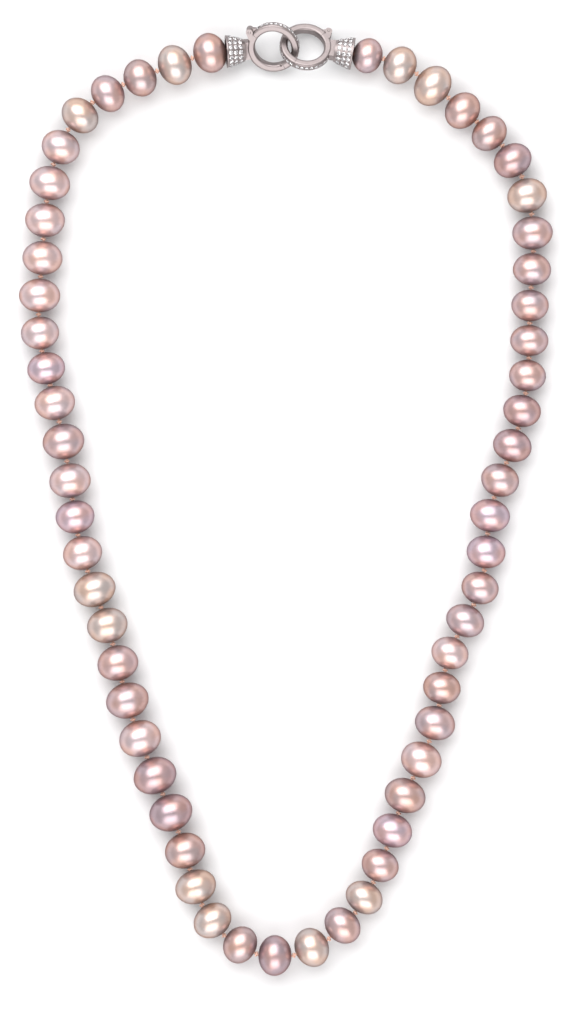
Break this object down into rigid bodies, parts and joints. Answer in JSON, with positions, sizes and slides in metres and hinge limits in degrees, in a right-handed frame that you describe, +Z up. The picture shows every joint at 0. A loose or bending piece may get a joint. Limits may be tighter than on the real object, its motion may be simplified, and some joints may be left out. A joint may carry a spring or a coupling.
{
  "type": "pearl necklace",
  "caption": "Knotted strand of 58 button pearls laid as an open drop, closed by two linked hinged rings on stone-set end caps.",
  "frame": {"origin": "middle of the footprint, on the surface the necklace lies on", "axes": "+Y from the lowest pearl to the clasp, +Z up from the surface, +X to the right hand seen from above"},
  "size_m": [0.107, 0.1907, 0.0091],
  "materials": {
    "pearl_nacre": "satin pink-mauve nacre, varying from pearl to pearl",
    "silk_thread": "peach silk bead cord",
    "white_gold": "polished white gold",
    "diamond": "round brilliant pave stones"
  },
  "bodies": {
    "strand_centre": {"centre_pearl": "pearl_nacre", "centre_silk": "silk_thread"},
    "left_strand_01": {"left_pearls_01": "pearl_nacre", "left_silk_01": "silk_thread", "left_pearls_02": "pearl_nacre", "left_silk_02": "silk_thread", "left_pearls_03": "pearl_nacre", "left_silk_03": "silk_thread"},
    "left_strand_04": {"left_pearls_04": "pearl_nacre", "left_silk_04": "silk_thread", "left_pearls_05": "pearl_nacre", "left_silk_05": "silk_thread"},
    "left_strand_06": {"left_pearls_06": "pearl_nacre", "left_silk_06": "silk_thread", "left_pearls_07": "pearl_nacre", "left_silk_07": "silk_thread"},
    "left_strand_08": {"left_pearls_08": "pearl_nacre", "left_silk_08": "silk_thread", "left_pearls_09": "pearl_nacre", "left_silk_09": "silk_thread"},
    "left_strand_10": {"left_pearls_10": "pearl_nacre", "left_silk_10": "silk_thread"},
    "left_clasp": {"left_end_cap": "white_gold", "left_cap_stones": "diamond", "left_thread_loop": "white_gold", "left_end_silk": "silk_thread", "left_ring": "white_gold", "left_ring_stones": "diamond", "left_hinge_pin": "white_gold"},
    "left_gate": {"left_gate": "white_gold", "left_gate_stones": "diamond"},
    "right_strand_01": {"right_pearls_01": "pearl_nacre", "right_silk_01": "silk_thread", "right_pearls_02": "pearl_nacre", "right_silk_02": "silk_thread", "right_pearls_03": "pearl_nacre", "right_silk_03": "silk_thread"},
    "right_strand_04": {"right_pearls_04": "pearl_nacre", "right_silk_04": "silk_thread", "right_pearls_05": "pearl_nacre", "right_silk_05": "silk_thread"},
    "right_strand_06": {"right_pearls_06": "pearl_nacre", "right_silk_06": "silk_thread", "right_pearls_07": "pearl_nacre", "right_silk_07": "silk_thread"},
    "right_strand_08": {"right_pearls_08": "pearl_nacre", "right_silk_08": "silk_thread", "right_pearls_09": "pearl_nacre", "right_silk_09": "silk_thread"},
    "right_strand_10": {"right_pearls_10": "pearl_nacre", "right_silk_10": "silk_thread"},
    "right_clasp": {"right_end_cap": "white_gold", "right_cap_stones": "diamond", "right_thread_loop": "white_gold", "right_end_silk": "silk_thread", "right_ring": "white_gold", "right_ring_stones": "diamond", "right_hinge_pin": "white_gold"},
    "right_gate": {"right_gate": "white_gold", "right_gate_stones": "diamond"}
  },
  "joints": [
    {"name": "left_flex_01", "type": "hinge", "parent": "strand_centre", "child": "left_strand_01", "pos_m": [-0.00573, -0.09117, 0.00407], "axis": [0, 0, 1], "range_deg": [-5, 9]},
    {"name": "left_flex_04", "type": "hinge", "parent": "left_strand_01", "child": "left_strand_04", "pos_m": [-0.02757, -0.05181, 0.00442], "axis": [0, 0, 1], "range_deg": [-2.8, 1.67]},
    {"name": "left_flex_06", "type": "hinge", "parent": "left_strand_04", "child": "left_strand_06", "pos_m": [-0.04139, -0.00739, 0.00406], "axis": [0, 0, 1], "range_deg": [-8.93, 5.13]},
    {"name": "left_flex_08", "type": "hinge", "parent": "left_strand_06", "child": "left_strand_08", "pos_m": [-0.04923, 0.0367, 0.00409], "axis": [0, 0, 1], "range_deg": [-6.62, 3.82]},
    {"name": "left_flex_10", "type": "hinge", "parent": "left_strand_08", "child": "left_strand_10", "pos_m": [-0.03849, 0.07909, 0.00399], "axis": [0, 0, 1], "range_deg": [-1.83, 3.08]},
    {"name": "left_cap_flex", "type": "hinge", "parent": "left_strand_10", "child": "left_clasp", "pos_m": [-0.01175, 0.08986, 0.0041], "axis": [0, 0, 1], "range_deg": [-6.83, 11.94]},
    {"name": "right_flex_01", "type": "hinge", "parent": "strand_centre", "child": "right_strand_01", "pos_m": [0.00178, -0.09144, 0.00414], "axis": [0, 0, 1], "range_deg": [-2.84, 1.69]},
    {"name": "right_flex_04", "type": "hinge", "parent": "right_strand_01", "child": "right_strand_04", "pos_m": [0.02558, -0.05596, 0.00426], "axis": [0, 0, 1], "range_deg": [-6.85, 3.95]},
    {"name": "right_flex_06", "type": "hinge", "parent": "right_strand_04", "child": "right_strand_06", "pos_m": [0.03985, -0.01447, 0.00396], "axis": [0, 0, 1], "range_deg": [-6.64, 11.61]},
    {"name": "right_flex_08", "type": "hinge", "parent": "right_strand_06", "child": "right_strand_08", "pos_m": [0.04878, 0.02801, 0.00386], "axis": [0, 0, 1], "range_deg": [-4.63, 8.04]},
    {"name": "right_flex_10", "type": "hinge", "parent": "right_strand_08", "child": "right_strand_10", "pos_m": [0.03835, 0.07524, 0.00396], "axis": [0, 0, 1], "range_deg": [-6.74, 3.89]},
    {"name": "right_cap_flex", "type": "hinge", "parent": "right_strand_10", "child": "right_clasp", "pos_m": [0.01355, 0.08923, 0.00363], "axis": [0, 0, 1], "range_deg": [-1.69, 2.83]},
    {"name": "left_gate_hinge", "type": "hinge", "parent": "left_clasp", "child": "left_gate", "pos_m": [-0.00704, 0.09334, 0.00537], "axis": [-0.0868, -0.4924, 0.866], "range_deg": [0, 45]},
    {"name": "right_gate_hinge", "type": "hinge", "parent": "right_clasp", "child": "right_gate", "pos_m": [0.00868, 0.09313, 0.00193], "axis": [-0.0868, -0.4924, -0.866], "range_deg": [0, 45]}
  ],
  "couplings": [
    {"joint": "left_flex_04", "follows": "left_flex_01", "ratio": -0.2836},
    {"joint": "left_flex_06", "follows": "left_flex_01", "ratio": -0.9511},
    {"joint": "left_flex_08", "follows": "left_flex_01", "ratio": -0.6989},
    {"joint": "left_flex_10", "follows": "left_flex_01", "ratio": 0.3143},
    {"joint": "left_cap_flex", "follows": "left_flex_01", "ratio": 1.2792},
    {"joint": "right_flex_01", "follows": "left_flex_01", "ratio": -0.2874},
    {"joint": "right_flex_04", "follows": "left_flex_01", "ratio": -0.7241},
    {"joint": "right_flex_06", "follows": "left_flex_01", "ratio": 1.243},
    {"joint": "right_flex_08", "follows": "left_flex_01", "ratio": 0.8545},
    {"joint": "right_flex_10", "follows": "left_flex_01", "ratio": -0.7129},
    {"joint": "right_cap_flex", "follows": "left_flex_01", "ratio": 0.2867}
  ]
}
